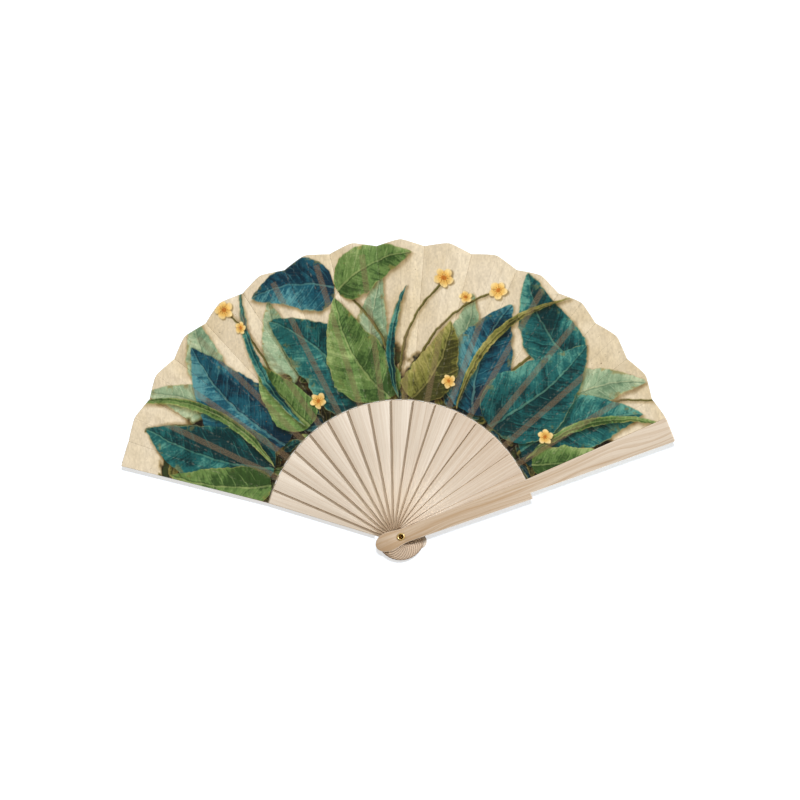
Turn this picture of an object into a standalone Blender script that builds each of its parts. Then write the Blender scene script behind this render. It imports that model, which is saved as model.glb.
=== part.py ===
"""Wooden folding fan with a pleated cloth leaf, lying open on its back.

Sixteen slats turn on one rivet, whose axis is Z. The back of the rear guard lies on z = 0, and each
slat lies over its left neighbour, up to the front guard. Lengths are in metres. Angles are in degrees,
anticlockwise from +X as seen from the front.
"""

import math

import bmesh
import bpy
from mathutils import Vector

# The slats, from the rear guard to the one that carries the front guard
SLAT_COUNT = 16
OPEN_PITCH = 9.44
LAST_SLAT_ANGLE = 22.42
SLAT_GAP = 0.0003

# A stick: a rounded butt, a neck at the rivet, a blade that widens to its shoulder, and a rib
STICK_THICKNESS = 0.00085
STICK_BUTT_REACH = 0.0175
STICK_BUTT_WIDTH = 0.0130
STICK_NECK_WIDTH = 0.0104
STICK_SHOULDER_WIDTH = 0.0188
SHOULDER_ROUNDING = 0.0008
RIB_WIDTH = 0.0043
RIB_TIP_RADIUS = 0.2060

# A guard: a butt and a neck, a handle that is wide on its right side only, and a long tapered plate
GUARD_THICKNESS = 0.0020
GUARD_BUTT_REACH = 0.0194
GUARD_BUTT_WIDTH = 0.0137
GUARD_NECK_WIDTH = 0.0106
GUARD_HANDLE_SIDE = 0.0096
GUARD_SHOULDER_WIDTH = 0.0102
GUARD_TIP_WIDTH = 0.0181
GUARD_TIP_RADIUS = 0.2092
GUARD_TIP_ROUNDING = 0.0015
NECK_RADIUS = 0.0040

# The leaf, measured from the rivet's axis
LEAF_INNER_RADIUS = 0.0988
LEAF_OUTER_RADIUS = 0.2128
LEAF_END_DROP = 0.0048
SCALLOP_HEIGHT = 0.0042
LEAF_THICKNESS = 0.00025
PLEAT_DEPTH = 0.0013
FOLD_LEAD = 1.6
LEAF_END_LEAD = 2.0
GLUE_GAP = 0.00015
FOLD_GAP = 0.0003
SHOULDER_GAP = 0.0004

# The tubular rivet, with its flat head let into the back of the rear guard
SHANK_DIAMETER = 0.0042
RIVET_BORE_DIAMETER = 0.0034
HEAD_DIAMETER = 0.0074
HEAD_THICKNESS = 0.0007
LIP_DIAMETER = 0.0056
LIP_HEIGHT = 0.0005
LIP_GAP = 0.0001
PIVOT_CLEARANCE = 0.00015

SLAT_PITCH = STICK_THICKNESS + SLAT_GAP
SHOULDER_RADIUS = LEAF_INNER_RADIUS - SHOULDER_GAP
LEAF_REBATE = LEAF_THICKNESS + GLUE_GAP
HALF_FOLD = OPEN_PITCH / 2
GUARD_LEAN = FOLD_LEAD - HALF_FOLD / 2
HOLE_RADIUS = SHANK_DIAMETER / 2 + PIVOT_CLEARANCE


def slat_angle(number):
    """Direction of a slat in the open fan, where 0 is the rear guard."""
    return LAST_SLAT_ANGLE + OPEN_PITCH * (SLAT_COUNT - 1 - number)


def front_face(number):
    """Height of a slat's front face."""
    return GUARD_THICKNESS + number * SLAT_PITCH


# Scene and materials


def clear_scene():
    for thing in list(bpy.data.objects):
        bpy.data.objects.remove(thing, do_unlink=True)


def new_collection(name):
    group = bpy.data.collections.new(name)
    bpy.context.scene.collection.children.link(group)
    return group


def new_material(name, colour, roughness, metallic=0.0):
    material = bpy.data.materials.new(name)
    material.use_nodes = True
    shader = material.node_tree.nodes["Principled BSDF"]
    shader.inputs["Base Color"].default_value = (*colour, 1.0)
    shader.inputs["Roughness"].default_value = roughness
    shader.inputs["Metallic"].default_value = metallic
    material.diffuse_color = (*colour, 1.0)
    return material


def add_object(name, mesh, group, material=None, angle=0.0, height=0.0):
    thing = bpy.data.objects.new(name, mesh)
    thing.location.z = height
    thing.rotation_euler.z = math.radians(angle)
    group.objects.link(thing)
    if material:
        mesh.materials.clear()
        mesh.materials.append(material)
    return thing


# Outlines, as points along a slat and across it


def butt_side(reach, width, neck_width):
    """One side of a butt, from its rounded end to the neck beside the rivet."""
    middle = reach / 2
    points = []
    for step in range(8):
        turn = math.radians(90) * step / 8
        points.append((-middle - middle * math.cos(turn), width / 2 * math.sin(turn)))
    for step in range(7):
        share = step / 6
        ease = (1 - math.cos(math.pi * share)) / 2
        along = -middle + (middle + NECK_RADIUS) * share
        points.append((along, width / 2 + (neck_width - width) / 2 * ease))
    return points


def rounded_corner(along, across, radius):
    """An outer corner of a slat's end, as a quarter of a circle."""
    points = []
    for step in range(4):
        turn = math.radians(30) * step
        points.append((along - radius + radius * math.sin(turn), across - radius + radius * math.cos(turn)))
    return points


def both_sides(left, right):
    """A whole outline from its two sides, each given from the middle line outwards as a left side."""
    return left + [(along, -across) for along, across in reversed(right) if across > 0]


def stick_outline():
    side = butt_side(STICK_BUTT_REACH, STICK_BUTT_WIDTH, STICK_NECK_WIDTH)
    side += rounded_corner(SHOULDER_RADIUS, STICK_SHOULDER_WIDTH / 2, SHOULDER_ROUNDING)
    side.append((SHOULDER_RADIUS, RIB_WIDTH / 2))
    side += rounded_corner(RIB_TIP_RADIUS, RIB_WIDTH / 2, RIB_WIDTH / 3)
    return both_sides(side, side)


def guard_outline():
    """The right side covers the stick's edge along the handle and steps in squarely at the shoulder."""
    butt = butt_side(GUARD_BUTT_REACH, GUARD_BUTT_WIDTH, GUARD_NECK_WIDTH)
    handle_corner = (SHOULDER_RADIUS, GUARD_HANDLE_SIDE)
    plate = [(SHOULDER_RADIUS, GUARD_SHOULDER_WIDTH / 2)]
    plate += rounded_corner(GUARD_TIP_RADIUS, GUARD_TIP_WIDTH / 2, GUARD_TIP_ROUNDING)
    return both_sides(butt + plate, butt + [handle_corner] + plate)


def circle_outline(radius, sides=32):
    turns = [math.tau * step / sides for step in range(sides)]
    return [(radius * math.cos(turn), radius * math.sin(turn)) for turn in turns]


# Solids


def evaluated_mesh(thing):
    """The mesh that an object's curve or modifiers make, after which the object is removed."""
    depsgraph = bpy.context.evaluated_depsgraph_get()
    mesh = bpy.data.meshes.new_from_object(thing.evaluated_get(depsgraph))
    bpy.data.objects.remove(thing, do_unlink=True)
    return mesh


def plate_mesh(name, outlines, thickness):
    """A flat plate with its back on z = 0, from an outline and the outlines of its holes."""
    curve = bpy.data.curves.new(name, "CURVE")
    curve.dimensions = "2D"
    curve.fill_mode = "BOTH"
    curve.extrude = thickness / 2
    for outline in outlines:
        spline = curve.splines.new("POLY")
        spline.points.add(len(outline) - 1)
        spline.use_cyclic_u = True
        for point, (along, across) in zip(spline.points, outline):
            point.co = (along, across, 0, 1)
    thing = bpy.data.objects.new(name, curve)
    bpy.context.scene.collection.objects.link(thing)
    mesh = evaluated_mesh(thing)
    shape = bmesh.new()
    shape.from_mesh(mesh)
    bmesh.ops.remove_doubles(shape, verts=shape.verts, dist=1e-6)
    bmesh.ops.translate(shape, verts=shape.verts, vec=(0, 0, thickness / 2))
    bmesh.ops.recalc_face_normals(shape, faces=shape.faces)
    shape.to_mesh(mesh)
    shape.free()
    return mesh


def cut_mesh(mesh, cutters, group):
    """A mesh with some cutters taken out of it. The cutters stay as guides in their own collection."""
    thing = bpy.data.objects.new(mesh.name, mesh)
    bpy.context.scene.collection.objects.link(thing)
    for cutter in cutters:
        group.objects.link(cutter)
        cutter.hide_render = True
        cutter.display_type = "WIRE"
        cut = thing.modifiers.new("cut", "BOOLEAN")
        cut.operation = "DIFFERENCE"
        cut.solver = "EXACT"
        cut.object = cutter
    return evaluated_mesh(thing)


def leaf_rebate_cutter(name, thickness, width):
    """A block over a slat's front beyond its shoulder, where the leaf is let in."""
    start, end = SHOULDER_RADIUS + SHOULDER_GAP / 2, 1.1 * GUARD_TIP_RADIUS
    low, high = thickness - LEAF_REBATE, 2 * thickness
    shape = bmesh.new()
    bmesh.ops.create_cube(shape, size=1)
    bmesh.ops.scale(shape, verts=shape.verts, vec=(end - start, width, high - low))
    bmesh.ops.translate(shape, verts=shape.verts, vec=((start + end) / 2, 0, (low + high) / 2))
    mesh = bpy.data.meshes.new(name)
    shape.to_mesh(mesh)
    shape.free()
    return bpy.data.objects.new(name, mesh)


def counterbore_cutter(name):
    """A cylinder that sinks the rivet's head into the back of the rear guard."""
    depth = HEAD_THICKNESS + PIVOT_CLEARANCE
    radius = HEAD_DIAMETER / 2 + PIVOT_CLEARANCE
    shape = bmesh.new()
    bmesh.ops.create_cone(shape, cap_ends=True, segments=32, radius1=radius, radius2=radius, depth=2 * depth)
    mesh = bpy.data.meshes.new(name)
    shape.to_mesh(mesh)
    shape.free()
    return bpy.data.objects.new(name, mesh)


# Slats


def add_sticks(parts, cutters):
    """Fifteen like sticks, each turned to its own angle over the one before."""
    plate = plate_mesh("stick", [stick_outline(), circle_outline(HOLE_RADIUS)], STICK_THICKNESS)
    rebate = leaf_rebate_cutter("stick_rebate", STICK_THICKNESS, 2 * STICK_SHOULDER_WIDTH)
    stick = cut_mesh(plate, [rebate], cutters)
    for number in range(1, SLAT_COUNT):
        wood = new_material(f"stick_wood_{number:02d}", (0.76, 0.63, 0.47), 0.55)
        back = front_face(number) - STICK_THICKNESS
        add_object(f"stick_{number:02d}", stick.copy(), parts, wood, slat_angle(number), back)
    bpy.data.meshes.remove(stick)


def add_guards(parts, cutters):
    """The rear guard carries the rivet's head, and the front guard is glued to the last stick."""
    wood = new_material("rear_guard_wood", (0.64, 0.50, 0.34), 0.55)
    outlines = [guard_outline(), circle_outline(HOLE_RADIUS)]
    rebate = leaf_rebate_cutter("guard_rebate", GUARD_THICKNESS, 2 * GUARD_TIP_WIDTH)
    counterbore = counterbore_cutter("rivet_counterbore")
    rear = cut_mesh(plate_mesh("rear_guard", outlines, GUARD_THICKNESS), [rebate, counterbore], cutters)
    add_object("rear_guard", rear, parts, wood, slat_angle(0) + GUARD_LEAN)
    wood = new_material("front_guard_wood", (0.64, 0.50, 0.34), 0.55)
    last = SLAT_COUNT - 1
    back = front_face(last) + GLUE_GAP
    front = plate_mesh("front_guard", outlines, GUARD_THICKNESS)
    add_object("front_guard", front, parts, wood, slat_angle(last) + GUARD_LEAN, back)


# Rivet


def rivet_profile():
    """Half of the rivet's section: up its bore, over its rolled lip, and down its outside."""
    lip_low = front_face(SLAT_COUNT - 1) + GLUE_GAP + GUARD_THICKNESS + LIP_GAP
    bore, shank = RIVET_BORE_DIAMETER / 2, SHANK_DIAMETER / 2
    head, lip = HEAD_DIAMETER / 2, LIP_DIAMETER / 2
    middle, half_width = (bore + lip) / 2, (lip - bore) / 2
    points = [(0, 2 * HEAD_THICKNESS), (bore, 2 * HEAD_THICKNESS)]
    for step in range(7):
        turn = math.pi * step / 6
        points.append((middle - half_width * math.cos(turn), lip_low + LIP_HEIGHT * math.sin(turn)))
    points += [(shank, lip_low), (shank, HEAD_THICKNESS), (head, HEAD_THICKNESS), (head, 0), (0, 0)]
    return points


def add_rivet(parts):
    shape = bmesh.new()
    corners = [shape.verts.new((across, 0, height)) for across, height in rivet_profile()]
    for low, high in zip(corners, corners[1:]):
        shape.edges.new((low, high))
    mesh = bpy.data.meshes.new("rivet")
    shape.to_mesh(mesh)
    shape.free()
    brass = new_material("rivet_brass", (0.72, 0.48, 0.18), 0.3, 1.0)
    rivet = add_object("rivet", mesh, parts, brass)
    turned = rivet.modifiers.new("turned", "SCREW")
    turned.angle = math.tau
    turned.steps = 28
    turned.render_steps = 28
    turned.use_merge_vertices = True
    turned.merge_threshold = 1e-5
    turned.use_smooth_shade = True


# Leaf


def polar(radius, angle, height):
    turn = math.radians(angle)
    return Vector((radius * math.cos(turn), radius * math.sin(turn), height))


def fold_radius(place, side):
    """Outer end of a fold. The place counts slats, and the side is 1 on a mountain, -1 in a valley.

    The panels on the guards are trimmed flush with the guards' tips.
    """
    if not 1 <= place < SLAT_COUNT - 1:
        return GUARD_TIP_RADIUS
    off_middle = 2 * place / (SLAT_COUNT - 1) - 1
    return LEAF_OUTER_RADIUS - LEAF_END_DROP * off_middle**2 + side * SCALLOP_HEIGHT / 2


def pleat_drop(number, radius):
    """How far the valley beyond a slat lies below the leaf on that slat.

    The pleats start flat on the rear guard and deepen slat by slat, so that they nest when the fan
    closes. The leaf under the front guard is flat too.
    """
    if number == SLAT_COUNT - 1:
        return 0.0
    nested = number * (SLAT_PITCH - LEAF_THICKNESS - FOLD_GAP / 2)
    return min(PLEAT_DEPTH, nested) * radius / LEAF_OUTER_RADIUS


def arc_angle(length, radius):
    return math.degrees(length / radius)


def glued_point(number, across, out):
    """A point under the panel that is glued to a slat, from its mountain fold (0) to its valley (1)."""
    mountain, valley = fold_radius(number, 1), fold_radius(number + 0.5, -1)
    outer = mountain + (valley - mountain) * across
    radius = LEAF_INNER_RADIUS + (outer - LEAF_INNER_RADIUS) * out
    trim = arc_angle(FOLD_GAP / 2, radius)
    first = FOLD_LEAD - trim if number else LEAF_END_LEAD
    rib_edge = -arc_angle(RIB_WIDTH / 2 + FOLD_GAP, radius)
    last = FOLD_LEAD - HALF_FOLD + trim
    if across <= 0.5:
        return polar(radius, first + (rib_edge - first) * 2 * across, 0)
    share = 2 * across - 1
    return polar(radius, rib_edge + (last - rib_edge) * share, -pleat_drop(number, radius) * share)


def free_point(number, across, out):
    """A point under the free panel between a slat's valley fold (0) and the next mountain fold (1)."""
    valley, mountain = fold_radius(number + 0.5, -1), fold_radius(number + 1, 1)
    outer = valley + (mountain - valley) * across
    radius = LEAF_INNER_RADIUS + (outer - LEAF_INNER_RADIUS) * out
    trim = arc_angle(FOLD_GAP / 2, radius)
    first, last = FOLD_LEAD - HALF_FOLD - trim, FOLD_LEAD - OPEN_PITCH + trim
    low = -pleat_drop(number, radius)
    return polar(radius, first + (last - first) * across, low + (SLAT_PITCH - low) * across)


def add_leaf_panel(name, number, place, group, material):
    """One panel of the leaf, as a grid laid on its underside and thickened towards the front."""
    shape = bmesh.new()
    bmesh.ops.create_grid(shape, x_segments=4, y_segments=4, size=0.5)
    for corner in shape.verts:
        corner.co = place(number, corner.co.x + 0.5, corner.co.y + 0.5)
    mesh = bpy.data.meshes.new(name)
    shape.to_mesh(mesh)
    shape.free()
    height = front_face(number) - LEAF_THICKNESS
    panel = add_object(name, mesh, group, material, slat_angle(number), height)
    cloth = panel.modifiers.new("cloth", "SOLIDIFY")
    cloth.thickness = LEAF_THICKNESS
    cloth.offset = 1


def add_leaf(parts):
    """The pleated leaf: a panel glued to each slat, and a free one from each slat to the next."""
    for number in range(SLAT_COUNT):
        cloth = new_material(f"glued_cloth_{number:02d}", (0.74, 0.66, 0.47), 0.85)
        add_leaf_panel(f"leaf_glued_{number:02d}", number, glued_point, parts, cloth)
    for number in range(SLAT_COUNT - 1):
        cloth = new_material(f"free_cloth_{number:02d}", (0.70, 0.63, 0.45), 0.85)
        add_leaf_panel(f"leaf_free_{number:02d}", number, free_point, parts, cloth)


def build_fan():
    clear_scene()
    parts = new_collection("folding_fan")
    cutters = new_collection("cutters")
    add_guards(parts, cutters)
    add_sticks(parts, cutters)
    add_rivet(parts)
    add_leaf(parts)


build_fan()
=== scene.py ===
"""Looks of the wooden folding fan with a pleated, printed cloth leaf, lying open on a white table."""

import math

import bmesh
import bpy
import numpy as np
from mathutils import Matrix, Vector


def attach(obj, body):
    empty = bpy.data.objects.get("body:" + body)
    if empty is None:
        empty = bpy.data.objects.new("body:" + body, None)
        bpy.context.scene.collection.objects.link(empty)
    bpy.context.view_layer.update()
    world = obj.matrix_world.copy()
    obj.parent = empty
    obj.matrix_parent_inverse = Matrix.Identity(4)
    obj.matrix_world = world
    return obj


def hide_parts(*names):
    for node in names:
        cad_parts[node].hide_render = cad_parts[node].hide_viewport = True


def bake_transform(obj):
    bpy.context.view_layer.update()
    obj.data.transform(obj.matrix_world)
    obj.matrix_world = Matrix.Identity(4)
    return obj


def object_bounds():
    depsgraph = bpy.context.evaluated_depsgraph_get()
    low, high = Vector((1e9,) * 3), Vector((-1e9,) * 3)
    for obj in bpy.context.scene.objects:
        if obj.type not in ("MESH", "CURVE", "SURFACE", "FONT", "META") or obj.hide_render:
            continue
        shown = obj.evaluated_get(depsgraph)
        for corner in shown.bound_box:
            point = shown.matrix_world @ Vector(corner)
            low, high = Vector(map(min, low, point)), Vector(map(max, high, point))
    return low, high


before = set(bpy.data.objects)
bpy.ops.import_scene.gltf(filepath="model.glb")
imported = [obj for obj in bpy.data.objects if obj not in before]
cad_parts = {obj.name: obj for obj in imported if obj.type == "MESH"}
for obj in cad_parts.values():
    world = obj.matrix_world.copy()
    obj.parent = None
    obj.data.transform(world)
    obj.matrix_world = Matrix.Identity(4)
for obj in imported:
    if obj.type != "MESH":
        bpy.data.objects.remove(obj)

cad_low, cad_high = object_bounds()

# Table, lamps and camera. The fan lies on a white, faintly glowing table and is seen from straight
# above through a long lens. A low lamp on the right makes each stick throw a thin shadow on its left
# neighbour, and another makes the rear guard throw one on the near left part of the table.

METRES_PER_PIXEL = 0.000723
PHOTO_PIXELS = 800
PHOTO_CENTRE = (-0.0007, 0.0985)
CAMERA_DISTANCE = 2.5
SENSOR_WIDTH = 36.0
TABLE_REACH = 3.0
TABLE_DROP = 0.00005
TABLE_GLOW = 0.55
SEAM_START = -0.019
SEAM_SLOPE = 0.3006
FAN_MIDDLE = (0.0, 0.1, 0.01)
PIVOT_SPOT = (-0.002, 0.018)
PIVOT_LAMP_SPREAD = 4.2
WARM_FILL = (1.0, 0.84, 0.66)
ROOM_STRENGTH = 0.24


def new_material(name, roughness, metallic=0.0):
    """A material with its node tree and its shader, which keeps these values on its own sockets."""
    made = bpy.data.materials.new(name)
    made.use_nodes = True
    shader = made.node_tree.nodes["Principled BSDF"]
    shader.inputs["Roughness"].default_value = roughness
    shader.inputs["Metallic"].default_value = metallic
    return made, made.node_tree, shader


def new_piece(name, shape, *materials):
    """An object at the origin from a finished bmesh."""
    mesh = bpy.data.meshes.new(name)
    shape.to_mesh(mesh)
    shape.free()
    for finish in materials:
        mesh.materials.append(finish)
    made = bpy.data.objects.new(name, mesh)
    bpy.context.scene.collection.objects.link(made)
    return made


def aim_lamp(lamp, place, target, power, lit):
    """Set a lamp in its place, turned to a target and lighting only a collection."""
    lamp.energy = power
    lamp_object = bpy.data.objects.new(lamp.name, lamp)
    lamp_object.location = place
    lamp_object.rotation_euler = (Vector(target) - Vector(place)).to_track_quat("-Z", "Y").to_euler()
    lamp_object.light_linking.receiver_collection = lit
    bpy.context.scene.collection.objects.link(lamp_object)
    return lamp_object


def add_lamp(name, place, size, power, lit, colour=(1, 1, 1)):
    """A round lamp turned to the fan's middle."""
    lamp = bpy.data.lights.new(name, "AREA")
    lamp.color = colour
    lamp.shape = "DISK"
    lamp.size = size
    return aim_lamp(lamp, place, FAN_MIDDLE, power, lit)


white_top, _, white_shader = new_material("white_table_top", 0.9)
white_shader.inputs["Base Color"].default_value = (0.70, 0.82, 1.0, 1)
white_shader.inputs["Emission Color"].default_value = (1, 1, 1, 1)
white_shader.inputs["Emission Strength"].default_value = TABLE_GLOW


def table_part(name, *corners):
    """A flat part of the table top between its corners, in a collection of its own."""
    shape = bmesh.new()
    shape.faces.new([shape.verts.new((*corner, -TABLE_DROP)) for corner in corners])
    part = new_piece(name, shape, white_top)
    alone = bpy.data.collections.new(name + "_alone")
    alone.objects.link(part)
    return alone


# The two parts meet under the rear guard, and beyond it where both are plain white
near_left, near_right = (-TABLE_REACH, -TABLE_REACH), (TABLE_REACH, -TABLE_REACH)
far_left, far_right = (-TABLE_REACH, TABLE_REACH), (TABLE_REACH, TABLE_REACH)
seam_bend = (SEAM_START, -SEAM_SLOPE * SEAM_START)
seam_left, seam_near = (-TABLE_REACH, SEAM_SLOPE * TABLE_REACH), (SEAM_START, -TABLE_REACH)
corner_table = table_part("table_corner", near_left, seam_near, seam_bend, seam_left)
wide_table = table_part("table_wide", near_right, far_right, far_left, seam_left, seam_bend, seam_near)

rear_edge = bpy.data.collections.new("rear_edge")
whole_fan = bpy.data.collections.new("whole_fan")
wood_and_brass = bpy.data.collections.new("wood_and_brass")
leaf_alone = bpy.data.collections.new("leaf_alone")
sticks_alone = bpy.data.collections.new("sticks_alone")
whole_fan.children.link(wood_and_brass)
whole_fan.children.link(leaf_alone)
add_lamp("stick_lamp", (6.23, 3.14, 4.01), 0.6, 900, wood_and_brass, (0.93, 0.98, 1.05))
add_lamp("leaf_lamp", (5.92, 2.25, 4.93), 0.6, 560, leaf_alone)
add_lamp("left_lamp", (-3.30, -0.60, 2.10), 2.6, 40, whole_fan, WARM_FILL)
add_lamp("high_lamp", (-0.1, 0.85, 3.0), 0.30, 22, whole_fan, (1.0, 0.92, 0.82))
add_lamp("table_lamp", (0.0, 0.64, 3.0), 0.30, 60, wide_table)
low_lamp = add_lamp("low_table_lamp", (0.0, 2.9, 2.0), 0.6, 140, corner_table)
low_lamp.light_linking.blocker_collection = rear_edge

pivot_light = bpy.data.lights.new("pivot_lamp", "SPOT")
pivot_light.color = (1.0, 0.88, 0.74)
pivot_light.spot_size = math.radians(PIVOT_LAMP_SPREAD)
pivot_light.spot_blend = 1.0
pivot_light.shadow_soft_size = 0.02
aim_lamp(pivot_light, (*PIVOT_SPOT, 1.0), (*PIVOT_SPOT, 0.0), 9, sticks_alone)

room = bpy.data.worlds.new("pale_room")
room.use_nodes = True
room_light = room.node_tree.nodes["Background"]
room_light.inputs["Color"].default_value = (*WARM_FILL, 1)
room_light.inputs["Strength"].default_value = ROOM_STRENGTH
bpy.context.scene.world = room
bpy.context.scene.view_settings.view_transform = "Standard"

lens = bpy.data.cameras.new("camera")
lens.sensor_width = SENSOR_WIDTH
lens.lens = SENSOR_WIDTH * CAMERA_DISTANCE / (METRES_PER_PIXEL * PHOTO_PIXELS)
camera = bpy.data.objects.new("camera", lens)
camera.location = (*PHOTO_CENTRE, CAMERA_DISTANCE + cad_high.z / 2)
bpy.context.scene.collection.objects.link(camera)
bpy.context.scene.camera = camera

# Rear guard. The outer slat at the back of the stack, 2 mm of pale plantation wood with open grain,
# sawn to shape and sanded, its edges eased by hand. The leaf is let into its front, and the rivet's
# head into its back.

SLAT_COUNT = 16
OPEN_PITCH = 9.44
LAST_SLAT_ANGLE = 22.42
GUARD_LEAN = -0.76
GUARD_EASING = 0.00036
BACK_EASING = 0.00015
LOW_WALL = 0.00042
SAME_SPOT = 1e-6
FLAT_LEVEL = 0.97
EASED_LEVEL = 0.5
GRAIN_SHIFT = 0.37
RIVET_DARK_CORE = 0.005
RIGHT_SHADE_SPAN = 0.075
BELOW_RIVET_START = 0.004
BELOW_RIVET_END = -0.010


def slat_angle(number):
    return LAST_SLAT_ANGLE + OPEN_PITCH * (SLAT_COUNT - 1 - number)


def put(tree, kind, feeds, **settings):
    """A shader node of a kind, its sockets fed with plain values or with other nodes' outputs."""
    made = tree.nodes.new("ShaderNode" + kind)
    for name, value in settings.items():
        setattr(made, name, value)
    for socket, feed in feeds.items():
        if isinstance(feed, bpy.types.NodeSocket):
            tree.links.new(feed, made.inputs[socket])
        else:
            made.inputs[socket].default_value = feed
    return made


def calc(tree, operation, first, second=0.0, third=0.0, clamp=False):
    made = put(tree, "Math", {0: first, 1: second, 2: third}, operation=operation, use_clamp=clamp)
    return made.outputs[0]


def mix(tree, how, share, under, over):
    """One colour laid over another by a share."""
    made = put(tree, "Mix", {0: share, 6: under, 7: over}, data_type="RGBA", blend_type=how)
    return made.outputs[2]


def stretch(tree, vector, scale, place=(0, 0, 0)):
    return put(tree, "Mapping", {"Vector": vector, "Location": place, "Scale": scale}).outputs[0]


def noise(tree, vector, detail=2.0, rough=0.5):
    made = put(tree, "TexNoise", {"Vector": vector, "Scale": 1.0, "Detail": detail, "Roughness": rough})
    return made.outputs[0]


def between(tree, value, low, high):
    """A value spread from 0 at low to 1 at high, smoothly and within these."""
    feeds = {"Value": value, "From Min": low, "From Max": high}
    return put(tree, "MapRange", feeds, interpolation_type="SMOOTHSTEP").outputs[0]


def new_group(name, inputs, outputs):
    """A shader node group with its named sockets, and its two end nodes."""
    group = bpy.data.node_groups.new(name, "ShaderNodeTree")
    for title, kind, default in inputs:
        socket = group.interface.new_socket(title, in_out="INPUT", socket_type="NodeSocket" + kind)
        if default is not None:
            socket.default_value = default
    for title, kind in outputs:
        group.interface.new_socket(title, in_out="OUTPUT", socket_type="NodeSocket" + kind)
    return group, group.nodes.new("NodeGroupInput").outputs, group.nodes.new("NodeGroupOutput").inputs


def use_group(tree, group, feeds):
    return put(tree, "Group", feeds, node_tree=group).outputs


wood_grain, grain_in, grain_out = new_group(
    "wood_grain",
    [
        ("Along", "Vector", None),
        ("Pale", "Color", (0.7, 0.6, 0.45, 1)),
        ("Dark", "Color", (0.5, 0.4, 0.28, 1)),
        ("Waves", "Float", 0.001),
        ("Band Width", "Float", 0.002),
        ("Band Strength", "Float", 0.5),
        ("Age", "Float", 0.0),
    ],
    [("Colour", "Color"), ("Roughness", "Float"), ("Height", "Float")],
)
grain_along = grain_in["Along"]
drift = noise(wood_grain, stretch(wood_grain, grain_along, (14, 70, 1)), 1.0)
drift = calc(wood_grain, "MULTIPLY", calc(wood_grain, "SUBTRACT", drift, 0.5), grain_in["Waves"])
drift_vector = put(wood_grain, "CombineXYZ", {"Y": drift}).outputs[0]
swayed = put(wood_grain, "VectorMath", {0: grain_along, 1: drift_vector}, operation="ADD").outputs[0]
bands_per_metre = calc(wood_grain, "DIVIDE", 1.0, grain_in["Band Width"])
band_scale = put(wood_grain, "CombineXYZ", {"X": 5.0, "Y": bands_per_metre, "Z": 1.0}).outputs[0]
band_place = put(wood_grain, "VectorMath", {0: swayed, 1: band_scale}, operation="MULTIPLY").outputs[0]
bands = between(wood_grain, noise(wood_grain, band_place, 2.0, 0.45), 0.36, 0.66)
streaks = noise(wood_grain, stretch(wood_grain, swayed, (30, 2600, 1)), 2.0)
fibres = noise(wood_grain, stretch(wood_grain, swayed, (120, 7000, 1)), 1.0)
pores = noise(wood_grain, stretch(wood_grain, swayed, (260, 5200, 1), (3, 5, 0)), 0.0)
pores = between(wood_grain, pores, 0.70, 0.80)
tone_of_slat = noise(wood_grain, stretch(wood_grain, grain_along, (4, 9, 1)), 1.0)

ring_noise = noise(wood_grain, stretch(wood_grain, band_place, (0.5, 0.55, 1), (5, 2, 0)), 1.0)
rings = calc(wood_grain, "PINGPONG", calc(wood_grain, "MULTIPLY", ring_noise, 5.0), 0.5)
rings = between(wood_grain, rings, 0.34, 0.5)
depth = calc(wood_grain, "MULTIPLY_ADD", rings, 0.55, bands)
depth = calc(wood_grain, "MULTIPLY", depth, grain_in["Band Strength"])
depth = calc(wood_grain, "MULTIPLY_ADD", between(wood_grain, streaks, 0.25, 0.75), 0.30, depth)
depth = calc(wood_grain, "MULTIPLY_ADD", calc(wood_grain, "SUBTRACT", tone_of_slat, 0.5), 0.5, depth)
# The darkening handed in deepens the colour; part of it is painted shade
depth = calc(wood_grain, "ADD", grain_in["Age"], depth)
depth = calc(wood_grain, "MULTIPLY_ADD", pores, 0.30, depth, clamp=True)
grain_colour = mix(wood_grain, "MIX", depth, grain_in["Pale"], grain_in["Dark"])
fibre_light = calc(wood_grain, "MULTIPLY_ADD", fibres, 0.16, 0.92)
fibre_grey = put(wood_grain, "CombineColor", {0: fibre_light, 1: fibre_light, 2: fibre_light}).outputs[0]
grain_colour = mix(wood_grain, "MULTIPLY", 1.0, grain_colour, fibre_grey)
wood_grain.links.new(grain_colour, grain_out["Colour"])
wood_grain.links.new(calc(wood_grain, "MULTIPLY_ADD", streaks, 0.22, 0.45), grain_out["Roughness"])
height = calc(wood_grain, "SUBTRACT", fibres, calc(wood_grain, "MULTIPLY", pores, 1.5))
wood_grain.links.new(height, grain_out["Height"])


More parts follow.
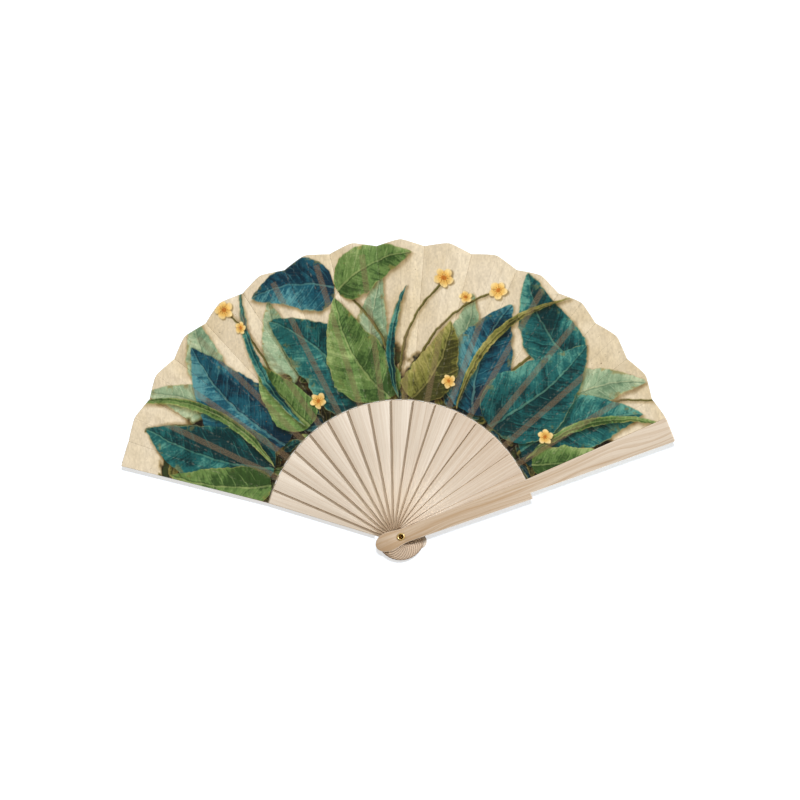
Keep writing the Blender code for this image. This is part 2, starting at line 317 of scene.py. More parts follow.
def wood_material(name, pale, dark, grain_shape, rivet_darkening=0.0, reach=0.15, painted_right_shade=0.0, below_rivet_darkening=0.0):
    """Bare sanded wood with its grain along the slat, darker near and below the rivet, with painted shade
    towards the right.
    """
    waves, band_width, band_strength = grain_shape
    made, tree, shader = new_material(name, 0.55)
    along = put(tree, "UVMap", {}, uv_map="grain").outputs[0]
    place = put(tree, "SeparateXYZ", {"Vector": put(tree, "TexCoord", {}).outputs["Object"]}).outputs
    flat_place = put(tree, "CombineXYZ", {"X": place[0], "Y": place[1]}).outputs[0]
    from_rivet = put(tree, "VectorMath", {0: flat_place}, operation="LENGTH").outputs["Value"]
    # Darker towards the rivet, out to the reach
    darkening = calc(tree, "MULTIPLY", between(tree, from_rivet, reach, RIVET_DARK_CORE), rivet_darkening)
    # Painted shade, darker towards the right of the fan; a negative amount paints light there instead
    darkening = calc(tree, "MULTIPLY_ADD", between(tree, place[0], 0.0, RIGHT_SHADE_SPAN), painted_right_shade, darkening)
    # Darker below the rivet, where the butts lie
    darkening = calc(tree, "MULTIPLY_ADD", between(tree, place[1], BELOW_RIVET_START, BELOW_RIVET_END), below_rivet_darkening, darkening)
    grain = use_group(
        tree,
        wood_grain,
        {
            "Along": along,
            "Pale": (*pale, 1),
            "Dark": (*dark, 1),
            "Waves": waves,
            "Band Width": band_width,
            "Band Strength": band_strength,
            "Age": darkening,
        },
    )
    tree.links.new(grain["Colour"], shader.inputs["Base Color"])
    tree.links.new(grain["Roughness"], shader.inputs["Roughness"])
    bump = put(tree, "Bump", {"Height": grain["Height"], "Strength": 0.15, "Distance": 0.00006})
    tree.links.new(bump.outputs[0], shader.inputs["Normal"])
    shader.inputs["Specular IOR Level"].default_value = 0.3
    return made


rear_guard_wood = wood_material(
    "rear_guard_wood", (0.71, 0.65, 0.56), (0.53, 0.43, 0.33), (0.005, 0.0018, 0.26), rivet_darkening=0.20
)
guard_edge_wood = wood_material(
    "guard_edge_wood", (0.46, 0.33, 0.21), (0.32, 0.21, 0.13), (0.004, 0.0012, 0.5)
)
# The guards' eased edges are paler than the front guard's face: a painted highlight along them
guard_eased_wood = wood_material(
    "guard_eased_wood", (0.74, 0.67, 0.56), (0.56, 0.45, 0.34), (0.004, 0.0012, 0.3), rivet_darkening=0.30
)


def height_range(face):
    heights = [corner.co.z for corner in face.verts]
    return max(heights) - min(heights)


def ease_edges(shape, level, width):
    """Round the sharp outline of a slat's front or back, but not the low step where the leaf is let in."""
    outline = []
    for edge in shape.edges:
        sharp = edge.is_convex and edge.calc_face_angle() > math.radians(30)
        on_level = all(abs(corner.co.z - level) < SAME_SPOT for corner in edge.verts)
        by_step = any(SAME_SPOT < height_range(face) < LOW_WALL for face in edge.link_faces)
        if sharp and on_level and not by_step:
            outline.append(edge)
    bmesh.ops.bevel(
        shape, geom=outline, offset=width, segments=2, profile=0.5, affect="EDGES", material=-1
    )


def refill_flats(shape):
    """Divide each flat face anew inside its outline, which the easing of the edges has moved inwards."""
    levels = {}
    for face in shape.faces:
        if height_range(face) < SAME_SPOT:
            levels.setdefault(round(face.verts[0].co.z, 5), set()).add(face)
    for group in levels.values():
        outline = {
            edge
            for face in group
            for edge in face.edges
            if sum(near in group for near in edge.link_faces) == 1
        }
        bmesh.ops.delete(shape, geom=list(group), context="FACES_ONLY")
        loose = [edge for edge in shape.edges if not edge.link_faces]
        bmesh.ops.delete(shape, geom=loose, context="EDGES")
        kept = [edge for edge in shape.edges if edge in outline]
        bmesh.ops.triangle_fill(shape, edges=kept, use_beauty=True)
    bmesh.ops.recalc_face_normals(shape, faces=shape.faces)


def finish_slat(node, name, number, angle, body, easing, *materials):
    """A slat from its solid: eased, with a map of its grain and woods for faces, sides and eased edges."""
    shape = bmesh.new()
    shape.from_mesh(bpy.data.objects[node].data)
    bmesh.ops.remove_doubles(shape, verts=shape.verts, dist=SAME_SPOT)
    bmesh.ops.dissolve_limit(
        shape, angle_limit=math.radians(1), use_dissolve_boundaries=False,
        verts=shape.verts, edges=shape.edges,
    )
    heights = [corner.co.z for corner in shape.verts]
    ease_edges(shape, max(heights), easing)
    ease_edges(shape, min(heights), BACK_EASING)
    refill_flats(shape)
    grain_map = shape.loops.layers.uv.new("grain")
    turn = math.radians(angle)
    for face in shape.faces:
        level = abs(face.normal.z)
        face.smooth = level < FLAT_LEVEL
        face.material_index = 0 if level > FLAT_LEVEL else 2 if level > EASED_LEVEL else 1
        for corner in face.loops:
            place = corner.vert.co
            along = place.x * math.cos(turn) + place.y * math.sin(turn)
            across = place.y * math.cos(turn) - place.x * math.sin(turn)
            corner[grain_map].uv = (along + GRAIN_SHIFT * number, across + GRAIN_SHIFT * number)
    made = new_piece(name, shape, *materials)
    made.data.set_sharp_from_angle(angle=math.radians(50))
    wood_and_brass.objects.link(made)
    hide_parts(node)
    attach(made, body)
    return made


rear = finish_slat(
    "rear_guard", "wooden_rear_guard", 0, slat_angle(0) + GUARD_LEAN, "rear", GUARD_EASING,
    rear_guard_wood, guard_edge_wood, guard_eased_wood,
)
rear_edge.objects.link(rear)

# Sticks. Fifteen thin slats of the same pale wood, cut from one sheet, so that their grain runs
# straight from butt to tip. They are sanded and left bare. Their sides and eased edges are browner,
# partly for the cut and partly as painted shade along the edges.

STICK_EASING = 0.00036
# On the sticks the darkening towards the rivet is painted shade, which takes the pivot lamp's light back
# off their lit faces; the one towards the right is painted shade as well
stick_wood = wood_material(
    "stick_wood", (0.71, 0.65, 0.56), (0.49, 0.385, 0.285), (0.0012, 0.0012, 0.26),
    rivet_darkening=0.45, reach=0.04, painted_right_shade=0.48, below_rivet_darkening=0.70,
)
stick_edge_wood = wood_material(
    "stick_edge_wood", (0.25, 0.155, 0.09), (0.18, 0.11, 0.06), (0.001, 0.001, 0.5)
)
# The sticks' eased edges are painted darker than their faces, partly as shade along each edge, darker still
# near and below the rivet, and paler towards the right as painted light
stick_eased_wood = wood_material(
    "stick_eased_wood", (0.60, 0.46, 0.31), (0.18, 0.115, 0.065), (0.001, 0.001, 0.2),
    rivet_darkening=0.90, reach=0.04, painted_right_shade=-0.40, below_rivet_darkening=0.60,
)

for number in range(1, SLAT_COUNT):
    body = "front" if number == SLAT_COUNT - 1 else f"slat_{number:02d}"
    stick = finish_slat(
        f"stick_{number:02d}", f"wooden_stick_{number:02d}", number, slat_angle(number), body,
        STICK_EASING, stick_wood, stick_edge_wood, stick_eased_wood,
    )
    sticks_alone.objects.link(stick)

# Front guard. The show face of the closed fan, cut from a wider board, so that its grain runs in long
# waves. It is glued to the last stick and covers the end of the leaf.

guard_wood = wood_material(
    "guard_wood", (0.60, 0.52, 0.42), (0.40, 0.28, 0.17), (0.010, 0.0022, 0.45),
    rivet_darkening=0.36, reach=0.21, below_rivet_darkening=0.25,
)

front = finish_slat(
    "front_guard", "wooden_front_guard", SLAT_COUNT, slat_angle(SLAT_COUNT - 1) + GUARD_LEAN, "front",
    GUARD_EASING, guard_wood, guard_edge_wood, guard_eased_wood,
)

# Rivet. One tubular brass rivet through every slat. Its head is flat and its open end is rolled over
# into a bright ring, while the bore stays dark with tarnish.

RIVET_BORE = 0.0017
RIVET_SHANK = 0.0021
RIVET_LIP = 0.0028
RIVET_HEAD = 0.0037
HEAD_THICKNESS = 0.0007
HEAD_CORNER = 0.0001
LIP_HEIGHT = 0.0005
LIP_FOOT = 0.0003
LIP_STEPS = 12
BORE_FLOOR = 0.0014
BORE_DARK_FROM = 0.0004
BORE_DARK_TO = 0.0018

brass, brass_tree, brass_shader = new_material("rivet_brass", 0.28, 1.0)
brass_place = put(brass_tree, "TexCoord", {}).outputs["Object"]
tarnish = noise(brass_tree, stretch(brass_tree, brass_place, (900, 900, 500)), 3.0)
tarnish = between(brass_tree, tarnish, 0.4, 0.75)
brass_height = put(brass_tree, "SeparateXYZ", {"Vector": brass_place}).outputs[2]
bore_dark = between(brass_tree, brass_height, cad_high.z - BORE_DARK_FROM, cad_high.z - BORE_DARK_TO)
bore_dark = calc(brass_tree, "MULTIPLY", bore_dark, 0.75)
brass_colour = mix(brass_tree, "MIX", tarnish, (0.70, 0.54, 0.24, 1), (0.52, 0.37, 0.13, 1))
brass_colour = mix(brass_tree, "MIX", bore_dark, brass_colour, (0.55, 0.33, 0.07, 1))
brass_tree.links.new(brass_colour, brass_shader.inputs["Base Color"])
brass_tree.links.new(calc(brass_tree, "MULTIPLY_ADD", tarnish, 0.2, 0.38), brass_shader.inputs["Roughness"])

lip_low = cad_high.z - LIP_HEIGHT
lip_middle, lip_half = (RIVET_BORE + RIVET_LIP) / 2, (RIVET_LIP - RIVET_BORE) / 2
rivet_profile = [(0.0, BORE_FLOOR), (RIVET_BORE, BORE_FLOOR), (RIVET_BORE, lip_low - LIP_FOOT)]
for step in range(LIP_STEPS + 1):
    turn = math.pi * step / LIP_STEPS
    rivet_profile.append((lip_middle - lip_half * math.cos(turn), lip_low + LIP_HEIGHT * math.sin(turn)))
rivet_profile += [
    (RIVET_SHANK, lip_low),
    (RIVET_SHANK, HEAD_THICKNESS),
    (RIVET_HEAD - HEAD_CORNER, HEAD_THICKNESS),
    (RIVET_HEAD, HEAD_THICKNESS - HEAD_CORNER),
    (RIVET_HEAD, HEAD_CORNER),
    (RIVET_HEAD - HEAD_CORNER, 0.0),
    (0.0, 0.0),
]
rivet_shape = bmesh.new()
rivet_points = [rivet_shape.verts.new((out, 0, up)) for out, up in rivet_profile]
rivet_line = [rivet_shape.edges.new(pair) for pair in zip(rivet_points, rivet_points[1:])]
bmesh.ops.spin(
    rivet_shape, geom=rivet_points + rivet_line, axis=(0, 0, 1), cent=(0, 0, 0), angle=math.tau, steps=64,
    use_merge=True, use_duplicate=False,
)
bmesh.ops.remove_doubles(rivet_shape, verts=rivet_shape.verts, dist=SAME_SPOT)
bmesh.ops.recalc_face_normals(rivet_shape, faces=rivet_shape.faces)
for face in rivet_shape.faces:
    face.smooth = True
rivet = new_piece("brass_rivet", rivet_shape, brass)
rivet.data.set_sharp_from_angle(angle=math.radians(40))
wood_and_brass.objects.link(rivet)
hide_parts("rivet")
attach(rivet, "rear")

# Picture on the leaf. It is printed in oil colours on aged cream cotton: broad pointed leaves in teal,
# blue and green, arching stems with small yellow blossoms, and dark litter under them. Lengths here
# are millimetres from the rivet, and each layer is laid over the one before.

DISPLAY_GAMMA = 2.2
PRINT_SEED = 7
CLOUD_CELLS = 64
CREAM, PALE_CREAM, WARM_CREAM = (216, 206, 183), (226, 218, 200), (202, 188, 156)
UNDERGROWTH, LEAF_LITTER, MOSS = (24, 20, 15), (82, 62, 36), (58, 72, 42)
SHADE = (0.62, 0.56, 0.42)
TEAL = ((12, 50, 54), (32, 92, 94), (104, 164, 150))
BLUE = ((12, 44, 60), (28, 82, 100), (100, 158, 164))
GREEN = ((52, 78, 40), (98, 128, 72), (160, 182, 122))
OLIVE = ((60, 62, 30), (116, 118, 60), (172, 166, 104))
SAGE = ((100, 130, 104), (140, 166, 136), (188, 204, 172))
LITTER_SHADES = (OLIVE, TEAL, GREEN, BLUE, OLIVE)
STEM, STEM_SHADE = (104, 100, 54), (60, 56, 32)
PETAL, PETAL_HEART, PETAL_EDGE = (228, 188, 104), (178, 110, 44), (240, 222, 170)
PETAL_VEIN, DOTS = (196, 142, 68), (116, 70, 30)
RIM, WORN = (196, 178, 112), (142, 118, 66)


def soft_step(low, high, values):
    share = np.clip((values - low) / (high - low), 0, 1)
    return share * share * (3 - 2 * share)


def clouds(x, y, size, seed):
    """Smooth random values from 0 to 1, in blots of about the given size."""
    table = np.random.default_rng(seed).random((CLOUD_CELLS, CLOUD_CELLS))
    column, row = np.floor(x / size).astype(int), np.floor(y / size).astype(int)
    right, up = x / size - column, y / size - row
    right, up = right * right * (3 - 2 * right), up * up * (3 - 2 * up)
    left, low = column % CLOUD_CELLS, row % CLOUD_CELLS
    next_left, next_low = (column + 1) % CLOUD_CELLS, (row + 1) % CLOUD_CELLS
    lower = table[left, low] * (1 - right) + table[next_left, low] * right
    upper = table[left, next_low] * (1 - right) + table[next_left, next_low] * right
    return lower * (1 - up) + upper * up


def mottle(x, y, size, seed):
    """Clouds of three sizes laid over each other."""
    whole = 0.5 * clouds(x, y, size, seed) + 0.3 * clouds(x, y, size / 2.1, seed + 1)
    return whole + 0.2 * clouds(x, y, size / 4.3, seed + 2)


def lay(picture, spots, mask, colour):
    """Paint a colour over some points of the picture, as far as the mask covers them."""
    under = picture[spots]
    picture[spots] = under + (np.asarray(colour, float) - under) * mask[:, None]


def shade(picture, spots, mask):
    """Darken some points of the picture with the warm brown of an oil painter's shadow."""
    picture[spots] *= 1 - mask[:, None] * (1 - np.array(SHADE))


def bent_line(x, y, foot, tip, bend):
    """Share along a bowed line from foot to tip, distance across it, and its length."""
    length = math.dist(foot, tip)
    ahead_x, ahead_y = (tip[0] - foot[0]) / length, (tip[1] - foot[1]) / length
    share = ((x - foot[0]) * ahead_x + (y - foot[1]) * ahead_y) / length
    across = (y - foot[1]) * ahead_x - (x - foot[0]) * ahead_y
    bow = 4 * bend * length * share * (1 - share)
    slope = 4 * bend * (1 - 2 * share)
    return share, (across - bow) / np.sqrt(1 + slope**2), length


def inside_leaf(share, across, length, breadth, fullness, seed):
    """How far inside a leaf's wavy margin a point is."""
    inner = np.clip(share, 0, 1)
    side = np.where(across > 0, 11.3, 2.9)
    half = breadth / 2 * np.sin(math.pi * inner**fullness) ** 0.8
    half = half * (1 + 0.26 * (mottle(inner * length, side, 0.24 * breadth, seed) - 0.5))
    return half - np.abs(across) - length * np.abs(share - inner)


def paint_leaf(picture, x, y, foot, tip, breadth, bend, shades, seed, fullness=0.58, veins=9):
    """A pointed leaf with its soft shadow, two unlike halves, side veins, a pale midrib and a worn rim."""
    deep, middle, light = (np.array(shade, float) for shade in shades)
    away = np.hypot(x - (foot[0] + tip[0]) / 2, y - (foot[1] + tip[1]) / 2)
    spots = np.flatnonzero(away < 0.62 * math.dist(foot, tip) + 0.6 * breadth)
    px, py = x[spots], y[spots]
    share, across, length = bent_line(px - 0.7, py + 1.4, foot, tip, bend)
    shadow = soft_step(-3.0, 1.5, inside_leaf(share, across, length, breadth, fullness, seed))
    shade(picture, spots, shadow * (0.4 + 0.7 * mottle(px, py, 12, seed + 2)))

    share, across, length = bent_line(px, py, foot, tip, bend)
    inside = inside_leaf(share, across, length, breadth, fullness, seed)
    near = inside > -1
    spots, px, py = spots[near], px[near], py[near]
    share, across, inside = share[near], across[near], inside[near]
    cover = soft_step(-0.4, 0.4, inside)
    width = np.abs(across)
    edge = np.clip(inside / (0.5 * breadth), 0, 1)

    # Side veins sweep forwards from the midrib, with the blade a little quilted between them
    spacing = length / veins
    sweep = share * length - 0.62 * width - 0.014 * width**2
    turn = sweep / spacing + 0.16 * (clouds(px, py, 9, seed) - 0.5)
    saw = turn - np.floor(turn)
    from_vein = np.minimum(saw, 1 - saw) * spacing
    tone = 0.36 + 0.20 * soft_step(0, 2.5, across) - 0.20 * soft_step(0, 3, -across)
    blots = mottle(px, py, 17, seed + 3) - 0.5
    tone += 0.26 * (0.5 - saw) + 1.25 * blots - 0.30 * soft_step(0.3, 0.0, share)
    tone += 0.34 * (clouds(sweep, across * 0.22 + 31, 1.1, seed + 5) - 0.5)
    brush_marks = clouds(px + 0.4 * py, py - 0.3 * px, 1.0, seed + 6) - 0.5
    tone += 0.26 * brush_marks + 0.22 * soft_step(0.5, 0.0, edge)
    low, high = soft_step(0, 0.5, tone)[:, None], soft_step(0.5, 1.0, tone)[:, None]
    lay(picture, spots, cover, deep + (middle - deep) * low + (light - middle) * 0.8 * high)

    vein_line = soft_step(0.55, 0.12, from_vein) * soft_step(0.02, 0.3, edge) * soft_step(0.3, 1.2, width)
    faded = soft_step(0.3, 0.7, mottle(px, py, 10, seed + 4))
    lay(picture, spots, 0.42 * cover * faded * vein_line * soft_step(0.02, 0.1, share), light)
    vein_shade = soft_step(0.9, 0.3, np.abs(saw * spacing - 0.9)) * soft_step(1, 3, width)
    lay(picture, spots, 0.25 * cover * vein_shade, deep)
    midrib = 0.25 + 0.010 * breadth * (1 - share)
    midrib_share = 0.65 * cover * (0.6 + 0.4 * faded) * soft_step(midrib + 0.4, midrib - 0.1, width)
    lay(picture, spots, midrib_share, 0.75 * light + 0.15 * np.array(RIM))
    lay(picture, spots, 0.5 * cover * soft_step(0.7, 0.2, np.abs(across + midrib + 0.55)), 0.8 * deep)

    rim = soft_step(0.8, 0.1, inside) * soft_step(0.35, 0.65, mottle(px, py, 7, seed + 8))
    lay(picture, spots, 0.6 * cover * rim, RIM)
    wear = soft_step(0.60, 0.74, mottle(px, py, 6, seed + 11)) * soft_step(0.35, 0.05, edge)
    lay(picture, spots, 0.5 * cover * wear, WORN)


def paint_stem(picture, x, y, foot, tip, width, bend):
    """A thin stem, thicker at its foot, with its lower side in shade."""
    share, across, _ = bent_line(x, y, foot, tip, bend)
    half = width / 2 * (1.15 - 0.5 * np.clip(share, 0, 1))
    spots = np.flatnonzero((share > -0.01) & (share < 1.01) & (np.abs(across) < half + 3))
    share, across, half = share[spots], across[spots], half[spots]
    ends = soft_step(-0.01, 0.005, share) * soft_step(1.01, 0.995, share)
    shade(picture, spots, 0.5 * soft_step(half + 2.2, half - 0.4, np.abs(across + 1.0)) * ends)
    cover = soft_step(half + 0.3, half - 0.3, np.abs(across)) * ends
    lay(picture, spots, cover, STEM)
    lay(picture, spots, 0.7 * cover * soft_step(0.1, -0.6, across / half), STEM_SHADE)


def paint_blossom(picture, x, y, centre, radius, turn):
    """A five-petalled blossom with an ochre heart and a ring of dots."""
    spots = np.flatnonzero(np.hypot(x - centre[0], y - centre[1]) < 1.7 * radius)
    px, py = x[spots] - centre[0], y[spots] - centre[1]

    def beyond_petals(px, py):
        reach, around = np.hypot(px, py), np.arctan2(py, px) + turn
        lobe = np.abs(np.cos(2.5 * around))
        outline = radius * (0.6 + 0.4 * lobe**0.55) * (1 + 0.06 * np.sin(5 * around))
        return reach - outline, reach / radius, around, lobe

    shadow = soft_step(1.2, -0.6, beyond_petals(px - 0.12 * radius, py + 0.16 * radius)[0])
    shade(picture, spots, 0.8 * shadow)
    beyond, share, around, lobe = beyond_petals(px, py)
    cover = soft_step(0.25, -0.25, beyond)
    lay(picture, spots, cover, PETAL)
    lay(picture, spots, 0.8 * cover * soft_step(0.45, 1.0, share), PETAL_EDGE)
    lay(picture, spots, 0.75 * cover * soft_step(0.35, 0.1, lobe) * soft_step(0.2, 0.5, share), PETAL_VEIN)
    rays = soft_step(0.2, 0.8, np.abs(np.sin(12.5 * around)))
    lay(picture, spots, 0.35 * cover * rays * soft_step(0.8, 0.3, share), PETAL_VEIN)
    lay(picture, spots, cover * soft_step(0.32, 0.2, share), PETAL_HEART)
    dots = soft_step(0.35, 0.8, np.cos(9 * around)) * soft_step(0.08, 0.02, np.abs(share - 0.36))
    lay(picture, spots, 0.8 * cover * dots, DOTS)


def paint_ground(x, y):
    """Aged cream ground with pale and warm blots."""
    picture = np.empty((len(x), 3))
    picture[:] = CREAM
    spots = np.arange(len(x))
    lay(picture, spots, 0.75 * soft_step(0.45, 0.8, mottle(x, y, 46, PRINT_SEED)), PALE_CREAM)
    lay(picture, spots, 0.65 * soft_step(0.5, 0.85, mottle(x, y, 38, PRINT_SEED + 20)), WARM_CREAM)
    lay(picture, spots, 0.30 * soft_step(0.45, 0.9, mottle(x, 0.3 * y, 5, PRINT_SEED + 30)), WARM_CREAM)
    return picture


def paint_undergrowth(picture, x, y, patches, random):
    """Dark leaf litter in soft-edged patches, with small leaves of every shade over it."""
    depth = np.full(len(x), -9.0)
    for centre_x, centre_y, radius in patches:
        depth = np.maximum(depth, 1 - np.hypot(x - centre_x, y - centre_y) / radius)
    ragged = depth + 1.0 * (mottle(x, y, 13, PRINT_SEED + 40) - 0.5)
    spots = np.flatnonzero(ragged > -0.12)
    shade(picture, spots, 0.8 * soft_step(-0.12, 0.06, ragged[spots]))
    mask = soft_step(0.02, 0.12, ragged[spots])
    lay(picture, spots, 0.96 * mask, UNDERGROWTH)
    brown = soft_step(0.5, 0.75, mottle(x[spots], y[spots], 6, PRINT_SEED + 50))
    lay(picture, spots, 0.8 * mask * brown, LEAF_LITTER)
    green = soft_step(0.52, 0.8, mottle(x[spots], y[spots], 9, PRINT_SEED + 60))
    lay(picture, spots, 0.8 * mask * green, MOSS)
    for centre_x, centre_y, radius in patches:
        for _ in range(round(radius * 0.75)):
            way, away = random.uniform(0, math.tau), radius * math.sqrt(random.uniform(0, 0.8))
            foot = (centre_x + away * math.cos(way), centre_y + away * math.sin(way))
            way, reach = random.uniform(0, math.tau), random.uniform(9, 19)
            tip = (foot[0] + reach * math.cos(way), foot[1] + reach * math.sin(way))
            light = random.uniform(0.45, 0.9)
            dim = light * np.array(LITTER_SHADES[random.integers(len(LITTER_SHADES))])
            breadth, bend = reach * random.uniform(0.34, 0.55), random.uniform(-0.12, 0.12)
            paint_leaf(picture, x, y, foot, tip, breadth, bend, dim, random.integers(1000), veins=5)


FAR_LEAVES = (
    ((-60, 100), (-96, 170), 34, 0.10),
    ((20, 104), (52, 176), 30, -0.10),
    ((100, 90), (176, 112), 34, 0.08),
    ((-110, 70), (-186, 104), 34, -0.10),
    ((-20, 110), (-14, 190), 26, 0.06),
    ((-134, 110), (-150, 158), 26, 0.06),
)
DARK_PATCHES = (
    (84, 62, 42), (56, 94, 36), (112, 56, 38), (-98, 42, 38), (-128, 50, 36), (-150, 46, 26),
    (-80, 76, 36), (-22, 106, 32), (22, 106, 26), (-58, 96, 34),
)
STEMS = (
    ((2, 98), (30, 184), 2.2, 0.14),
    ((6, 98), (70, 178), 2.0, 0.16),
    ((-4, 98), (-52, 184), 2.2, -0.14),
    ((-86, 62), (-128, 164), 2.0, -0.12),
    ((84, 60), (184, 98), 2.0, 0.12),
    ((60, 84), (130, 146), 2.2, 0.14),
    ((-88, 60), (-186, 76), 2.2, -0.10),
)
BROAD_LEAVES = (
    ((124, 126), (92, 190), 40, 0.10, TEAL),
    ((-48, 180), (-108, 172), 38, -0.10, BLUE),
    ((52, 88), (80, 168), 50, 0.10, BLUE),
    ((-30, 96), (-96, 156), 52, -0.10, TEAL),
    ((-84, 66), (-152, 136), 54, 0.08, BLUE),
    ((86, 62), (174, 88), 48, 0.08, TEAL),
    ((-46, 178), (8, 206), 32, 0.10, GREEN),
    ((-8, 100), (-48, 172), 44, 0.10, GREEN),
    ((64, 80), (134, 138), 56, -0.06, TEAL),
    ((-92, 48), (-186, 78), 52, 0.06, TEAL),
    ((8, 100), (36, 156), 32, -0.10, OLIVE),
    ((-94, 36), (-168, 44), 30, 0.06, GREEN),
    ((94, 52), (148, 62), 26, -0.06, GREEN),
    ((-66, 80), (-104, 124), 32, 0.04, GREEN),
)
BLADES = (
    ((-92, 50), (-200, 96), 7, -0.16, GREEN),
    ((-70, 80), (-116, 184), 6, 0.12, TEAL),
    ((40, 92), (122, 172), 6, 0.16, OLIVE),
    ((90, 56), (192, 80), 6, 0.14, GREEN),
    ((-2, 100), (4, 182), 6, 0.10, TEAL),
)
BLOSSOMS = (
    (31, 187, 7.0), (70, 178, 6.5), (-128, 164, 6.5), (34, 112, 5.0),
    (-60, 98, 6.0), (47, 173, 4.5), (104, 72, 5.5), (-116, 151, 4.2),
)


def paint_picture(x, y):
    """The whole print at points given in millimetres, from the ground to the blossoms."""
    random = np.random.default_rng(PRINT_SEED)
    picture = paint_ground(x, y)
    weave_x, weave_y = x, y
    x = x + 2.4 * (mottle(weave_x, weave_y, 8, PRINT_SEED + 70) - 0.5)
    y = y + 2.4 * (mottle(weave_x, weave_y, 8, PRINT_SEED + 75) - 0.5)
    for foot, tip, breadth, bend in FAR_LEAVES:
        paint_leaf(picture, x, y, foot, tip, breadth, bend, SAGE, breadth)
    paint_undergrowth(picture, x, y, DARK_PATCHES, random)
    for foot, tip, width, bend in STEMS:
        paint_stem(picture, x, y, foot, tip, width, bend)
    for foot, tip, breadth, bend, shades in BROAD_LEAVES:
        paint_leaf(picture, x, y, foot, tip, breadth, bend, shades, abs(foot[0]) + breadth)
    for foot, tip, breadth, bend, shades in BLADES:
        paint_leaf(picture, x, y, foot, tip, breadth, bend, shades, abs(foot[0]), fullness=0.85, veins=3)
    for centre_x, centre_y, radius in BLOSSOMS:
        paint_blossom(picture, x, y, (centre_x, centre_y), radius, random.uniform(0, math.tau))
    brushed = mottle(weave_x + 0.15 * weave_y, 0.28 * weave_y - 0.1 * weave_x, 1.6, PRINT_SEED + 80)
    canvas = clouds(weave_x, 0.6 * weave_y, 0.8, PRINT_SEED + 85)
    dark_share = 1 - picture.mean(axis=1) / 255
    picture *= (1 + (0.07 + 0.22 * dark_share) * (brushed - 0.5) + 0.09 * (canvas - 0.5))[:, None]
    return np.clip(picture, 0, 255) / 255


# Leaf. One sheet of thin plain-weave cotton, pleated into a mountain and a valley at each slat. One
# panel of each pleat is glued to its slat, and the other lies free between two slats.

LEAF_INNER_RADIUS = 0.0988
LEAF_OUTER_RADIUS = 0.2128
LEAF_END_DROP = 0.0048
SCALLOP_HEIGHT = 0.0042
GUARD_TIP_RADIUS = 0.2092
GUARD_THICKNESS = 0.0020
SLAT_PITCH = 0.00115
PLEAT_DEPTH = 0.0013
NEST_RISE = 0.00075
FOLD_LEAD = 1.6
LEAF_END_LEAD = 2.0
HALF_FOLD = OPEN_PITCH / 2
RIB_WIDTH = 0.0043
RIB_TIP_RADIUS = 0.2060
CLOTH_THICKNESS = 0.00025
TIP_ROUNDING = 0.12
PUCKER = 0.00010
CREASE_WIDTH = 0.0009
HEM_WIDTH = 0.0006
SHARP_SIDE = 0.0001
PANEL_ROWS = 260
PANEL_COLUMNS = 36


def fold_radius(place, side):
    """Outer end of a fold, 1 for a mountain and -1 for a valley. The panels on the guards are trimmed."""
    if not 1 <= place < SLAT_COUNT - 1:
        return GUARD_TIP_RADIUS
    off_middle = 2 * place / (SLAT_COUNT - 1) - 1
    return LEAF_OUTER_RADIUS - LEAF_END_DROP * off_middle**2 + side * SCALLOP_HEIGHT / 2


def pleat_drop(number, radius):
    """How far the valley beyond a slat lies below the leaf on that slat."""
    if number == SLAT_COUNT - 1:
        return 0 * radius
    return min(PLEAT_DEPTH, number * NEST_RISE) * radius / LEAF_OUTER_RADIUS


def fall_from_peak(share):
    """Share of a scallop's height lost on the way from its rounded peak to its valley."""
    return (np.hypot(share, TIP_ROUNDING) - TIP_ROUNDING) / (math.hypot(1, TIP_ROUNDING) - TIP_ROUNDING)


def glued_panel(number, across, out):
    """Radius, angle from the slat and height above its face, from the mountain fold to the valley."""
    mountain, valley = fold_radius(number, 1), fold_radius(number + 0.5, -1)
    edge = mountain + (valley - mountain) * fall_from_peak(across)
    radius = LEAF_INNER_RADIUS + (edge - LEAF_INNER_RADIUS) * out
    first = FOLD_LEAD if number else LEAF_END_LEAD
    rib_edge = -np.degrees(RIB_WIDTH / 2 / radius)
    beyond_rib = np.clip(2 * across - 1, 0, 1)
    on_rib = first + (rib_edge - first) * 2 * across
    off_rib = rib_edge + (FOLD_LEAD - HALF_FOLD - rib_edge) * beyond_rib
    angle = np.where(across < 0.5, on_rib, off_rib)
    return radius, angle, -pleat_drop(number, radius) * beyond_rib, beyond_rib


def free_panel(number, across, out):
    """The same for the free panel, from the valley to the mountain fold on the next slat."""
    valley, mountain = fold_radius(number + 0.5, -1), fold_radius(number + 1, 1)
    edge = mountain + (valley - mountain) * fall_from_peak(1 - across)
    radius = LEAF_INNER_RADIUS + (edge - LEAF_INNER_RADIUS) * out
    drop = pleat_drop(number, radius)
    return radius, FOLD_LEAD - HALF_FOLD * (1 + across), (SLAT_PITCH + drop) * across - drop, across


